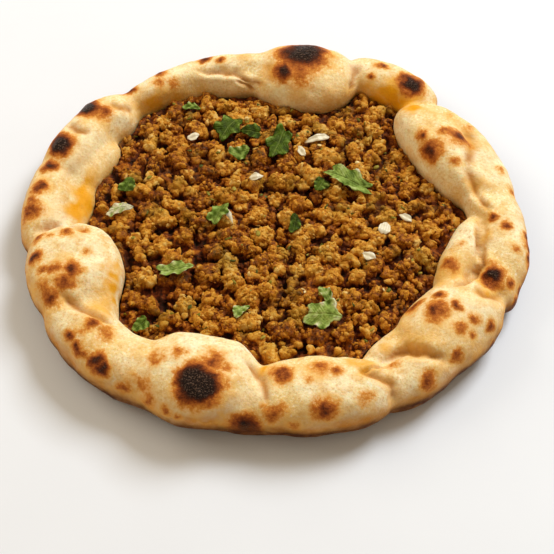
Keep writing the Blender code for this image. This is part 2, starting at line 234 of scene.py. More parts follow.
def closed_mesh(name, shells, ends=None, upward=False):
    """One mesh of closed shells. Each is a grid of rings of equal count, drawn together at a point at either end:
    the middle of its outermost ring, unless the ends are given. The rings run downward, or else upward."""
    points, tables, first = [], [], 0
    for rings in shells:
        points += [rings.reshape(-1, 3), [rings[0].mean(0), rings[-1].mean(0)] if ends is None else ends]
        tables.append([first + faces for faces in ring_faces(*rings.shape[:2])])
        first += rings.shape[0] * rings.shape[1] + 2
    walls, caps = (np.concatenate(faces) for faces in zip(*tables))
    if upward:
        walls, caps = walls[:, (0, 3, 2, 1)], caps[:, (0, 2, 1)]
    return mesh_of(name, np.concatenate(points), walls, caps)


def paint_on(mesh, name, values):
    """Keeps a number for each point of the mesh, for its material to read."""
    layer = mesh.attributes.new(name, "FLOAT", "POINT")
    layer.data.foreach_set("value", np.asarray(values, np.float32).ravel())


def piece(name, mesh, finish, slot, *nodes):
    """An object of this mesh that stands for CAD nodes and rides on the part's one body."""
    made = bpy.data.objects.new(name, mesh)
    mesh.materials.append(finish.material)
    bpy.context.scene.collection.objects.link(made)
    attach(made, "root")
    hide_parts(*nodes)


AROUND, OVER = 760, 120  # points round the bread, and steps from its foot over the rim to the base inside
COARSE_AROUND, COARSE_OVER = 4, 2  # of which every fourth and every second are walked out in full

bearing = np.linspace(0, 2 * math.pi, AROUND, endpoint=False)
coarse_bearing = bearing[::COARSE_AROUND]
trial = np.radians(np.linspace(150, 265, 60))[:, None]
height_there = walk_out(coarse_bearing[None], trial, 0.0, 22, 2)[0][..., 2] - BASE_THICKNESS
after = np.maximum((height_there < 0).argmax(0), 1)
each = np.arange(len(coarse_bearing))
high, low = height_there[after - 1, each], height_there[after, each]
coarse_last = trial[after - 1, 0] + (trial[after, 0] - trial[after - 1, 0]) * high / (high - low)

share = np.linspace(0, 1, OVER // COARSE_OVER + 1)[:, None]
coarse_slant = -math.pi / 2 + share * (coarse_last + math.pi / 2)
coarse_along = walk_out(coarse_bearing[None], coarse_slant, 0.0, 26, 2)[1]
slant = stretched(coarse_slant, COARSE_AROUND, COARSE_OVER)
along = stretched(coarse_along, COARSE_AROUND, COARSE_OVER)
skin = walk_out(bearing[None], slant, along - 1.0, 6, 3)[0].astype(float)

# Blisters and scorched places as the viewer sees them, read on a level plane:
# x, y, radius of the dark middle, radius of the brown halo, how dark (1 black, 0.6 brown, 0.3 tan)
SIGHT_LEVEL = 20.0
WANDER = ((2.1, 6.0), (1.1, 2.6))  # how far the edges of a mark stray, and over what size
BLACK, BROWN = 0.9, 0.6  # a mark darker than this has a flat black middle, or is raised as a blister
HALO_END, HALO_FALL = 1.08, 1.3  # where a halo ends, over its radius, and how steeply it fades
BLISTER_WIDTH = 1.15
SCORCHES = (
    # far side
    (15, 118, 9, 21, 1.0), (3, 104, 4, 10, 0.85), (12, 103, 7, 15, 0.5), (15, 95, 4, 9, 0.35),
    (74, 95, 6, 11, 0.95), (59, 109, 3, 6, 0.7), (52, 100, 1.6, 4, 0.65),
    # lobe and bands at the right
    (77, 57, 2.4, 6, 0.7), (81, 46, 4.5, 11, 0.78), (98, 55, 6, 11, 0.72), (91, 60, 3, 8, 0.5), (93, 39, 2, 6, 0.5),
    (94, 72, 3, 6, 0.3), (104, 62, 3, 7, 0.3), (116, 49, 2, 5, 0.28), (118, 32, 3, 6, 0.32), (123, 17, 2, 5, 0.45),
    (109, 1, 2.2, 4.5, 0.7), (117, -4, 2.2, 5, 0.65), (86, -28, 4, 8, 0.62), (92, -15, 2, 4, 0.3),
    (107, -35, 4.2, 9, 0.95), (116, -41, 2.5, 5.5, 0.62), (120, -18, 3, 6, 0.42), (127, -18, 4, 8, 0.55),
    (126, -30, 3, 6, 0.5),
    # broad pillow at the near right
    (78, -47, 2.6, 6, 0.7), (77, -56, 4.4, 10, 0.68), (66, -53, 3, 8, 0.6), (87, -53, 2.8, 6, 0.66),
    (96, -62, 2.6, 6, 0.55), (88, -66, 2.6, 6, 0.55), (104, -66, 2.6, 6, 0.6), (94, -71, 2, 4, 0.5),
    (86, -83, 2.6, 6, 0.62), (94, -86, 3, 6, 0.3),
    (72, -97, 3.6, 8, 0.6), (55, -87, 2.6, 6, 0.35),
    # long pillow at the near side
    (2.5, -91.5, 4.6, 8.5, 0.6), (22, -88, 4, 9, 0.5), (28, -90, 2.5, 5, 0.6), (15, -95, 2.4, 5, 0.35),
    (23, -111, 5.0, 9, 0.65), (41, -107, 3, 8, 0.38), (-2, -114, 3.6, 8, 0.55), (8, -122, 2, 5, 0.4),
    # largest puff
    (-37, -97, 10.5, 15.0, 1.08), (-30, -85, 6, 12, 0.55), (-24, -88, 3, 7, 0.4), (-15, -122, 5.5, 12, 0.88),
    (-47, -79, 2.4, 7, 0.46), (-57, -83, 4, 8, 0.42), (-22, -97, 2, 6, 0.34), (-72, -102, 3, 6, 0.5),
    (-63, -99, 6, 10, 0.36), (-61, -108, 5, 9, 0.42), (-52, -112, 2.5, 5, 0.45), (-46, -116, 2, 4, 0.45),
    # near left
    (-99.5, -72, 3.0, 5.5, 0.66), (-96, -78, 4, 6.5, 0.68), (-91.5, -81, 2, 5, 0.5), (-86, -86, 4.8, 7.5, 0.8),
    (-82.5, -91, 3.6, 6.5, 0.78), (-88, -64, 3, 8, 0.6), (-82, -69, 4, 9, 0.4), (-93, -68, 3, 7, 0.36),
    # broad lobe at the left
    (-102, -30, 4.6, 8, 0.72), (-122, -24, 4, 7, 0.75), (-121, -13, 3, 6, 0.62), (-115, -10, 2, 5, 0.35),
    (-107, -8, 2.6, 6, 0.55), (-98, -6, 4, 7, 0.38), (-112, -30, 3, 7, 0.5), (-117, -31, 2, 5, 0.55),
    (-116, -43, 4, 10, 0.36), (-105, -39, 4.6, 8.5, 0.58), (-112, -48, 4.6, 9, 0.68), (-95, -20, 2, 5, 0.35),
    # browned edge at the right
    (127, -13, 2, 4.5, 0.72), (127, -20, 2.2, 4.5, 0.85), (126, -26, 2, 4.5, 0.78), (122, -47, 2.2, 4.5, 0.85),
    (119, -53, 2.2, 4.5, 0.88), (114, -60, 2.2, 4.5, 0.85), (104, -78, 2, 4.5, 0.7),
    # left side and far left
    (-127, 5, 6, 12, 0.56), (-127, 12, 3, 7, 0.55), (-124, 20, 3.6, 8, 0.72), (-115, 51, 6, 11, 0.98),
    (-119, 35, 3.8, 8, 0.8), (-103, 76, 6.5, 11, 1.0), (-94, 74, 5, 10, 0.6), (-65, 103, 3.4, 8, 0.66),
    (-83, 92, 3.4, 7, 0.66), (-56, 94, 2.6, 7, 0.5), (-66, 95, 3, 8, 0.42), (-41, 113, 3, 6, 0.75),
    (-32, 113, 2.4, 5, 0.65),
)


def as_seen(skin, x, y):
    """The point of the skin that the viewer sees there: of those within a millimetre of the line of sight, or
    else the closest to it, the one nearest the viewer."""
    sight = np.array((x, y, SIGHT_LEVEL)) - VIEWER
    sight /= np.linalg.norm(sight)
    points = skin.reshape(-1, 3)
    depth = (points - VIEWER) @ sight
    aside = np.linalg.norm(points - VIEWER - depth[:, None] * sight, axis=1)
    near = aside < max(1.0, aside.min() + 0.3)
    return points[near][depth[near].argmin()]


scorches = centred(SCORCHES)
scorch_place = np.array([as_seen(skin, x, y) for x, y in scorches[:, :2]])
uneven = np.stack([layered(skin, WANDER, seed, 10) for seed in (10, 11, 12)], -1)
heat = blister = np.zeros(skin.shape[:2])
for place, (_, _, dark, halo, strength) in zip(scorch_place, scorches):
    away = np.linalg.norm(skin + uneven * min(1.0, halo / 8) - place, axis=-1)
    flat = (0.5 if strength > BLACK else 0.25) * dark
    fade = np.clip((HALO_END * halo - away) / (HALO_END * halo - flat), 0, 1)
    heat = np.maximum(heat, strength * fade**HALO_FALL)
    if strength > BROWN:
        blister = np.maximum(blister, strength * dark * np.exp(-((away / (BLISTER_WIDTH * dark)) ** 2)))

# Creases where one fold of dough lies against the next, as the viewer sees them:
# depth, width, and the places it runs through
CREASES = (
    (2.6, 1.9, ((103, 0), (103, -9), (102, -20), (101, -29), (97, -35), (91, -39), (82, -43))),
    (1.9, 2.4, ((99, 38), (101, 30), (103, 20), (106, 10), (108, 4))),
    (1.3, 3.4, ((99, 66), (103, 57), (104, 48), (102, 40), (102, 33))),
    (1.4, 3.2, ((97, -40), (101, -46), (107, -48), (114, -46))),
    (2.2, 2.2, ((48, -86), (54, -82), (61, -80), (68, -80), (76, -83), (82, -88))),
    (1.6, 2.2, ((-14, -82), (-10, -90), (-8, -96), (-6, -101), (-5, -113))),
    (1.9, 1.9, ((36, -87), (43, -91), (49, -94), (53, -98), (54, -104), (53, -112))),
    (1.8, 2.0, ((-124, -10), (-118, -6), (-110, -5), (-99, -6), (-92, -8))),
    (1.1, 2.5, ((-113, 64), (-106, 60), (-98, 58))),
    (1.2, 2.5, ((-92, 82), (-85, 77), (-76, 73))),
    (1.7, 1.8, ((-45, 105), (-39, 103), (-30, 103), (-22, 102), (-18, 98), (-14, 92), (-9, 89))),
    (1.1, 1.6, ((-23, 97), (-17, 90), (-12, 86))),
    (0.8, 3.0, ((-5, 112), (-4, 100), (-3, 92))),
    (0.9, 0.9, ((-21, 99), (-17, 97), (-13, 94), (-9, 91))),
    (0.9, 0.9, ((-23, 95), (-19, 92), (-15, 89), (-12, 86))),
    (2.0, 0.9, ((40, -90), (44, -89), (48, -88), (52, -88))),
    (2.0, 2.2, ((-109, -45), (-101, -51), (-92, -56), (-84, -60), (-76, -65))),
    (1.4, 2.2, ((43, 111), (44, 103), (42, 91), (39, 84))),
)


def crease(skin, depth, width, spots, steps=30):
    """How far the skin is drawn in along a crease, and how near it is from 0 to 1: a bell over the distance from
    it, shallower at its ends, with a low swelling on either side."""
    line = np.array([as_seen(skin, x, y) for x, y in np.array(spots) + BREAD_SHIFT])
    run = np.concatenate([[0], np.cumsum(np.linalg.norm(np.diff(line, axis=0), axis=1))])
    share = np.linspace(0, 1, steps)
    line = np.stack([np.interp(share * run[-1], run, line[:, i]) for i in range(3)], -1)
    points = (skin + 0.4 * uneven).reshape(-1, 1, 3).astype(np.float32)
    away = np.linalg.norm(points - line.astype(np.float32), axis=-1)
    nearest = away.argmin(1)
    away = away[np.arange(len(away)), nearest].reshape(skin.shape[:2])
    fade = np.minimum(1, 6 * share * (1 - share))[nearest].reshape(skin.shape[:2])
    near = np.exp(-((away / width) ** 2)) * fade
    lip = np.exp(-(((away - 2.3 * width) / (1.2 * width)) ** 2)) * fade
    return depth * (0.3 * lip - near), near


creases = [crease(skin, *row) for row in CREASES]
drawn_in = sum(depth for depth, _ in creases)
# painted shade: how near each point is to a crease, where the finish darkens the dough
crease_shade_mask = np.maximum.reduce([near for _, near in creases])

# The skin's own relief: swellings between wrinkles, and each blister raised a little
SWELLINGS = ((0.75, 15.0), (0.5, 7.5), (0.22, 3.4))  # height, size
SKIN_SHRINK = 0.45
BLISTER_RISE = 0.17
BREAD_TOP = 31.3
FOOT_HEIGHT = 5.0  # below this the relief dies away, so that the bread lies flat
UNDERSIDE_RINGS, BASE_RINGS = (0.3, 0.7, 0.93), (0.9, 0.55)
flat_foot = np.clip(skin[..., 2] / FOOT_HEIGHT, 0, 1)
rise = layered(skin, SWELLINGS, 31) - SKIN_SHRINK + drawn_in + BLISTER_RISE * blister
skin += outward(skin) * (rise * flat_foot)[..., None]
skin[..., 2] = np.clip(skin[..., 2], 0, BREAD_TOP)
skin[-1, :, 2] = BASE_THICKNESS

under = [skin[0] * (f, f, 0) for f in UNDERSIDE_RINGS]
base = [skin[-1] * (f, f, 1) for f in BASE_RINGS]
rings = np.concatenate([under, skin, base])


def on_all_rings(values, fill=0.0):
    """Values on the skin, filled up for the rings and the two points that close it below and inside."""
    rows = np.pad(values, ((len(under), len(base)), (0, 0)), constant_values=fill)
    return np.append(rows, [fill, fill])


# What the dough's finish reads: how scorched each point is; how steep it is, how near a crease and how far it turns
# down low on its outer side, which give baked browning together with painted shade; and how much fat it has, and
# how much flour, together with paler painted light
INNER_SIDE = (85.0, 135.0)  # slants in degrees, 90 straight up: where the inner side begins, and is full
GOLD_OUTSIDE, GOLD_INSIDE, GOLD_FALL = 1.4, 0.05, 1.3  # how much steepness tells in the golden browning and painted shade
BROWNED_FACING, BROWNED_TOP, BROWNED_FADE = 0.34, 17.0, 6.0
# how much a crease adds to the painted shade of steep places
CREASE_SHADE_SHARE = 0.55
WALL_OIL, WALL_OIL_TOP, WALL_OIL_FADE = 0.45, 18.0, 6.0

bread_mesh = closed_mesh("naan_bread", [rings], [(0, 0, 0), (0, 0, BASE_THICKNESS)], upward=True)
paint_on(bread_mesh, "scorch", on_all_rings(heat))
facing_up = outward(skin)[..., 2]
inward = np.clip((np.degrees(slant) - INNER_SIDE[0]) / (INNER_SIDE[1] - INNER_SIDE[0]), 0, 1)
# painted shade together with baked browning: steep places turn golden brown, most of all on the outer side
steep_browning_and_shade = np.clip(1 - facing_up, 0, 1) ** GOLD_FALL * (GOLD_OUTSIDE + (GOLD_INSIDE - GOLD_OUTSIDE) * inward)
low = np.clip((BROWNED_TOP - skin[..., 2]) / BROWNED_FADE, 0, 1)
# painted shade together with baked browning: the outer side low down, where it turns downward
underside_brown_and_shade = np.clip(1 - facing_up / BROWNED_FACING, 0, 1) * (1 - inward) * low
paint_on(bread_mesh, "underside_brown_and_shade", on_all_rings(underside_brown_and_shade, 1.0))
paint_on(bread_mesh, "crease_shade", on_all_rings(crease_shade_mask**2))
paint_on(bread_mesh, "steep_browning_and_shade", on_all_rings(np.clip(np.maximum(steep_browning_and_shade, CREASE_SHADE_SHARE * crease_shade_mask), 0, 1), 0.6))

# How far fat from the filling has soaked in: the inner wall low down, and a few places higher up
OILED = (
    # left and far left
    (-101, 18, 7, 1.0), (-98, 12, 8, 1.0), (-101, 4, 7, 1.0), (-103, 10, 6, 1.0), (-95, 20, 6, 0.8),
    (-95, 27, 5, 0.5), (-74, 73, 9, 0.7), (-65, 77, 10, 0.8), (-54, 81, 10, 0.75), (-43, 84, 7, 0.5),
    (-79, -29, 4, 0.8), (-79.5, -35, 5, 0.9), (-81, -42, 4.5, 0.9), (-80.5, -49, 4, 0.9), (-80, -55, 3.5, 0.7),
    (-86, -46, 5, 0.6), (-84, -54, 8, 0.6),
    # far side and far right
    (15, 84, 8, 0.35), (30, 84, 7, 0.35), (38, 83, 7, 0.5), (50, 88, 8, 0.7), (60, 84, 9, 1.0), (72, 81, 8, 1.0),
    (46, 82, 8, 0.85), (55, 79, 8, 1.0), (64, 75, 8, 1.0), (73, 76, 7, 1.0),
    # near side
    (53, -77, 5, 0.7), (-6, -90, 5, 0.85), (-5, -98, 5, 0.5), (78, -66, 12, 0.3), (66, -74, 11, 0.45),
    (40, -86, 6, 0.8), (60, -62, 7, 0.4),
    # right
    (70, 38, 6, 0.5), (92, 10, 5, 0.4), (103, 22, 5, 0.55), (103, -15, 4, 0.6), (80, -36, 6, 0.6),
    (78, -40, 6, 0.6), (88, -34, 6, 0.5), (103, -44, 6, 0.85),
)
# and where flour still lies, together with painted light that makes some slopes and inner walls paler: x, y, how far
# it reaches, how strong
FLOUR_AND_PAINTED_LIGHT = (
    (94, -57, 12, 1.0), (106, -58, 7, 0.7), (115, 34, 10, 1.0), (122, -4, 6, 0.8), (108, 27, 6, 0.6),
    (35, 95, 9, 0.6), (-100, 45, 12, 0.9), (-20, -86, 8, 0.7), (-13, -104, 7, 0.7), (-52, 103, 6, 0.9),
    (42, 104, 8, 0.6), (-115, 3, 7, 0.8), (-95, -20, 6, 0.35), (30, -91, 7, 0.6), (-67, -71, 7, 0.6),
    (70, 45, 10, 0.7), (80, 28, 9, 0.6), (65, 58, 8, 0.6), (15, 88, 14, 0.8), (30, 88, 10, 0.8), (0, 88, 8, 0.6),
    (-38, 95, 7, 0.9), (-22, 93, 8, 0.8), (72, 59, 7, 0.5), (-112, 30, 8, 0.6), (85, 51, 6, 0.5),
)


def soaked_in(places, start, power):
    """How strongly a stain shows on the skin: from each of its places it fades as a bell of this power."""
    shows = start
    for x, y, reach, strength in centred(places):
        away = np.linalg.norm(skin + 1.5 * uneven - as_seen(skin, x, y), axis=-1)
        shows = np.maximum(shows, strength * np.exp(-((away / reach) ** power)))
    return shows


wall_oil = WALL_OIL * inward * np.clip((WALL_OIL_TOP - skin[..., 2]) / WALL_OIL_FADE, 0, 1)
paint_on(bread_mesh, "oil", on_all_rings(soaked_in(OILED, wall_oil, 3)))
paint_on(bread_mesh, "flour_and_painted_light", on_all_rings(soaked_in(FLOUR_AND_PAINTED_LIGHT, 0, 2)))


def srgb(r, g, b):
    """A colour as the eye names it, from 0 to 255, turned into light."""
    part = np.array((r, g, b)) / 255
    light = np.where(part <= 0.04045, part / 12.92, ((part + 0.055) / 1.055) ** 2.4)
    return (*(float(v) for v in light), 1)


def feed(tree, node, feeds):
    """Each input of the node is fed by a socket or a field, or set to a value."""
    for name, source in dict(feeds).items():
        source = source.socket if isinstance(source, Field) else source
        if isinstance(source, bpy.types.NodeSocket):
            tree.links.new(source, node.inputs[name])
        else:
            node.inputs[name].default_value = source


def field(tree, kind, feeds=(), out=0, **settings):
    """What a new shader node with these settings and inputs puts out."""
    made = tree.nodes.new(kind)
    for key, value in settings.items():
        setattr(made, key, value)
    feed(tree, made, feeds)
    return Field(tree, made.outputs[out])


class Field:
    """A number or colour that varies over a surface. Reckoning with it makes nodes in its tree."""

    def __init__(self, tree, socket):
        self.tree, self.socket = tree, socket

    def reckon(self, operation, other):
        return field(self.tree, "ShaderNodeMath", {0: self, 1: other}, operation=operation)

    def __add__(self, other):
        return self.reckon("ADD", other)

    def __sub__(self, other):
        return self.reckon("SUBTRACT", other)

    def __mul__(self, other):
        return self.reckon("MULTIPLY", other)

    def remap(self, low, high, to_low=0.0, to_high=1.0):
        """The number carried from one range to another, and kept inside it."""
        feeds = {"Value": self, "From Min": low, "From Max": high, "To Min": to_low, "To Max": to_high}
        return field(self.tree, "ShaderNodeMapRange", feeds)

    def ramp(self, *stops):
        """A colour read off a scale of stops, each a place and a colour."""
        made = field(self.tree, "ShaderNodeValToRGB", {"Fac": self})
        scale = made.socket.node.color_ramp
        for place, _ in stops[1:-1]:
            scale.elements.new(place)
        scale.elements[0].position = stops[0][0]
        scale.elements[-1].position = stops[-1][0]
        for element, (_, colour) in zip(scale.elements, stops):
            element.color = srgb(*colour)
        return made

    def under(self, share, colour, kind="MIX"):
        """This colour with another one, a field or as the eye names it, laid over it by a share."""
        colour = srgb(*colour) if isinstance(colour, tuple) else colour
        return field(self.tree, "ShaderNodeMix", {0: share, 6: self, 7: colour}, 2, data_type="RGBA", blend_type=kind)

    def stained(self, mask, low, high, share, colour):
        """This colour led through the stain group."""
        feeds = {"Mask": mask, "From": low, "To": high, "Share": share, "Colour": self, "Stain": srgb(*colour)}
        return field(self.tree, "ShaderNodeGroup", feeds, node_tree=stain)


def new_effect(name, inputs, output, kind):
    """An empty node group for an effect that several materials use: its tree, the fields that come in and the
    node that it puts out by. Three numbers are a vector, and four a colour."""
    group = bpy.data.node_groups.new(name, "ShaderNodeTree")
    for title, value in inputs.items():
        sort = {3: "Vector", 4: "Color"}[len(value)] if isinstance(value, tuple) else "Float"
        group.interface.new_socket(title, in_out="INPUT", socket_type=f"NodeSocket{sort}").default_value = value
    group.interface.new_socket(output, in_out="OUTPUT", socket_type=f"NodeSocket{kind}")
    given = group.nodes.new("NodeGroupInput").outputs
    return group, {title: Field(group, given[title]) for title in inputs}, group.nodes.new("NodeGroupOutput")


# Speckle: a noise from 0 to 1 with features of about this size in millimetres
speckle, given, out = new_effect("speckle", {
    "Where": (0, 0, 0), "Size": 1.0, "Detail": 3.0, "Roughness": 0.55, "Distortion": 0.0}, "Speckle", "Float")
feeds = {name: given[name] for name in ("Detail", "Roughness", "Distortion")}
feeds["Scale"] = field(speckle, "ShaderNodeMath", {0: METRE, 1: given["Size"]}, operation="DIVIDE")
feed(speckle, out, {0: field(speckle, "ShaderNodeTexNoise", {"Vector": given["Where"], **feeds})})

# Stain: a second colour laid over the first where a mask passes from one value to another, up to a share
stain, given, out = new_effect("stain", {
    "Mask": 0.0, "From": 0.0, "To": 1.0, "Share": 1.0, "Colour": (1, 1, 1, 1), "Stain": (1, 1, 1, 1)},
    "Colour", "Color")
share = given["Mask"].remap(given["From"], given["To"], 0.0, given["Share"])
feed(stain, out, {0: given["Colour"].under(share, given["Stain"])})

# Fine relief: the tilt of a surface that rises and falls with a height, by a depth in metres
fine_relief, given, out = new_effect("fine relief", {"Height": 0.0, "Strength": 0.5, "Depth": 0.0003},
                                     "Normal", "Vector")
feeds = {"Height": given["Height"], "Strength": given["Strength"], "Distance": given["Depth"]}
feed(fine_relief, out, {0: field(fine_relief, "ShaderNodeBump", feeds)})


class Finish:
    """A material in the making: its tree, and where the surface is, in the object's own coordinates."""

    def __init__(self, name):
        self.material = bpy.data.materials.new(name)
        self.material.use_nodes = True
        self.tree = self.material.node_tree
        self.where = field(self.tree, "ShaderNodeTexCoord", out="Object")

    def speckle(self, size, *values):
        """The speckle group, with this finish's own size, detail, roughness and distortion."""
        feeds = {"Where": self.where, "Size": size, **dict(zip(("Detail", "Roughness", "Distortion"), values))}
        return field(self.tree, "ShaderNodeGroup", feeds, node_tree=speckle)

    def kept(self, name):
        """A number that the mesh keeps for each of its points."""
        return field(self.tree, "ShaderNodeAttribute", out="Fac", attribute_name=name)

    def show(self, colour, rough, relief=None, strength=0.0, depth=0.0, constants=()):
        """Leads the colour, the roughness and the relief to the shader, and sets its constants."""
        feeds = {"Base Color": colour, "Roughness": rough, **dict(constants)}
        if relief:
            tilt = {"Height": relief, "Strength": strength, "Depth": depth}
            feeds["Normal"] = field(self.tree, "ShaderNodeGroup", tilt, node_tree=fine_relief)
        feed(self.tree, self.tree.nodes["Principled BSDF"], feeds)


baked = Finish("baked dough")
fine, mottle, broad = baked.speckle(1.4, 4, 0.65), baked.speckle(7.0, 3, 0.6), baked.speckle(24.0)
speck, patch, blotch = baked.speckle(0.8, 2, 0.7), baked.speckle(13.0, 4, 0.6), baked.speckle(3.2, 3, 0.6)
steep_browning_and_shade, scorch, soaking = baked.kept("steep_browning_and_shade"), baked.kept("scorch"), baked.kept("oil")
up = field(baked.tree, "ShaderNodeSeparateXYZ", {"Vector": baked.where}, "Z")
# the dough: cream, paler and darker in its grain, golden where it is steep or thin, partly baked browning and partly
# painted shade
dough = broad.ramp((0.40, (248, 233, 194)), (0.60, (238, 208, 146)))
dough = dough.stained(fine, 0.47, 0.30, 0.8, (255, 248, 226))
dough = dough.under(steep_browning_and_shade * mottle.remap(0.3, 0.6, 0.75, 1.0), (197, 128, 42))
dough = dough.stained(patch, 0.50, 0.64, 0.6, (230, 178, 94))
dough = dough.stained(mottle, 0.52, 0.74, 0.6, (222, 158, 70))
dough = dough.stained(fine, 0.53, 0.72, 0.8, (208, 154, 84))
# flour on it, with paler painted light, fat in it, and painted shade in its creases
# painted light together with flour: paler cream where the table above says
dough = dough.under(baked.kept("flour_and_painted_light") * fine.remap(0.3, 0.6, 0.75, 0.45), (255, 237, 200))
soaked = soaking * mottle.remap(0.3, 0.6, 0.85, 1.15)
dough = dough.under(soaked.remap(0.0, 0.85), soaking.ramp((0.6, (232, 174, 72)), (1.0, (230, 158, 18))))
dough = dough.under(baked.kept("crease_shade") * 0.85, (178, 110, 32))
# scorched places, with a ragged edge and pale specks on the blackest, partly ash and partly painted glints, and stray
# tan spots
ragged = (fine - 0.5) * 0.5 + (blotch - 0.5) * 0.36
edge = scorch.remap(0.02, 0.30) * scorch.remap(0.6, 1.0, 1.0, 0.45)
warmth = ragged * edge + scorch.reckon("MAXIMUM", mottle.remap(0.60, 0.80, 0.0, 0.16))
char = warmth.ramp((0.05, (242, 198, 110)), (0.22, (226, 158, 68)), (0.40, (190, 110, 42)), (0.56, (140, 68, 26)),
                   (0.72, (82, 34, 14)), (0.86, (38, 14, 11)), (1.0, (20, 8, 9)))
dough = dough.under(warmth.remap(0.02, 0.30), char)
# painted glints together with ash: pale specks on the blackest char
dough = dough.under(speck.remap(0.53, 0.66) * warmth.remap(0.72, 0.95) * 0.6, (140, 110, 94))
# browner low down on steep sides, and dark at the foot that lay on the oven: baked browning together with painted
# shade, and painted contact shade at the foot
dough = dough.under(up.remap(0.017, 0.004) * steep_browning_and_shade * 0.8, (186, 110, 32))
foot_brown_and_shade = up.remap(0.008, 0.002).reckon("MAXIMUM", baked.kept("underside_brown_and_shade")) * mottle.remap(0.3, 0.6, 0.55, 1.0)
dough = dough.under(foot_brown_and_shade, (74, 32, 6))
baked.show(dough, soaked.remap(0.2, 0.9, 0.62, 0.34) - warmth.remap(0.6, 1.0, 0, 0.28),
           fine * 0.8 + mottle * 0.9 + speck * scorch.remap(0.3, 1.0, 0.3, 3.2), 0.6, 0.0009,
           {"Specular IOR Level": 0.15, "Specular Tint": (1.0, 0.7, 0.5, 1), "Subsurface Weight": 0.25,
            "Subsurface Radius": (1.0, 0.55, 0.25), "Subsurface Scale": 0.003})
piece("naan_bread", bread_mesh, baked, "dough", "naan")

# Torn coriander leaves, strewn on last: thin blades with rounded lobes and finer teeth, a pale midrib and side
# veins, cupped and rippled as they wilt. Some show their paler underside. The mince is kept below them.
LEAVES = (  # x, y, length, width, turn, teeth, how pale
    (-47, 80.5, 9, 6, 0, 3, 0.35), (-26, 63.5, 17, 12, 62, 5, 0.15), (-13.5, 62, 11, 7, -10, 3, 0.1),
    (1, 52.5, 20, 12, 72, 5, 0.18), (-20, 46, 10, 8, 20, 3, 0.4), (-78, 24, 11, 8, 75, 3, 0.25),
    (-81.5, 8, 13, 6, 5, 3, 1.0), (-30, 4.5, 14, 10, 70, 5, 0.38), (37.5, 26, 25, 12, -24, 7, 0.5),
    (23, 23.5, 12, 8, 72, 3, 0.2), (9, -2.5, 10, 6, 80, 3, 0.1), (-51, -30.5, 17, 9, 2, 5, 0.6),
    (22, -58, 17, 13, -12, 5, 0.6), (24, -47, 10, 5, -62, 3, 0.6), (-18, -54.5, 9, 7, 65, 3, 0.55),
    (-66, -62, 9, 7, 40, 3, 0.4),
)
LEAF_TOOTH = 0.17
LEAF_SKEW = 0.4
LEAF_NOTCH, LEAF_FRINGE = 0.045, 0.02  # of the teeth, and of the finest ones
LEAF_WAVE = 0.06
LEAF_THICKNESS = 0.4
CRINKLES = (0.08, 0.35)  # along the side veins, in lengths of the leaf, and all over
CRINKLE_DEPTH = 0.55
VEIN_DEPTH = 0.12
LEAF_LIFT = 0.3

blade = Finish("coriander leaf")
fine, crumple, cloud = blade.speckle(0.8, 3, 0.6), blade.speckle(2.2, 3, 0.6), blade.speckle(4.2, 2)
vein = blade.kept("vein")
green = (blade.kept("pale") + (cloud - 0.5) * 0.9).ramp(
    (0.0, (26, 42, 0)), (0.3, (62, 84, 2)), (0.6, (144, 166, 80)), (0.85, (188, 198, 136)), (1.0, (222, 216, 188)))
green = green.under(vein * 0.35, (156, 170, 92))
green = green.stained(crumple, 0.50, 0.68, 0.5, (32, 50, 2)).stained(fine, 0.55, 0.8, 0.5, (40, 60, 6))
blade.show(green, fine.remap(0.3, 0.7, 0.38, 0.6), fine * 0.4 + crumple * 1.6 - vein, 0.7, 0.0005,
           {"Specular IOR Level": 0.2, "Specular Tint": (0.85, 1.0, 0.35, 1)})


def axes(turn):
    """The level directions along and across a thing turned by this angle, one in each row."""
    return np.array(((math.cos(turn), math.sin(turn)), (-math.sin(turn), math.cos(turn))))


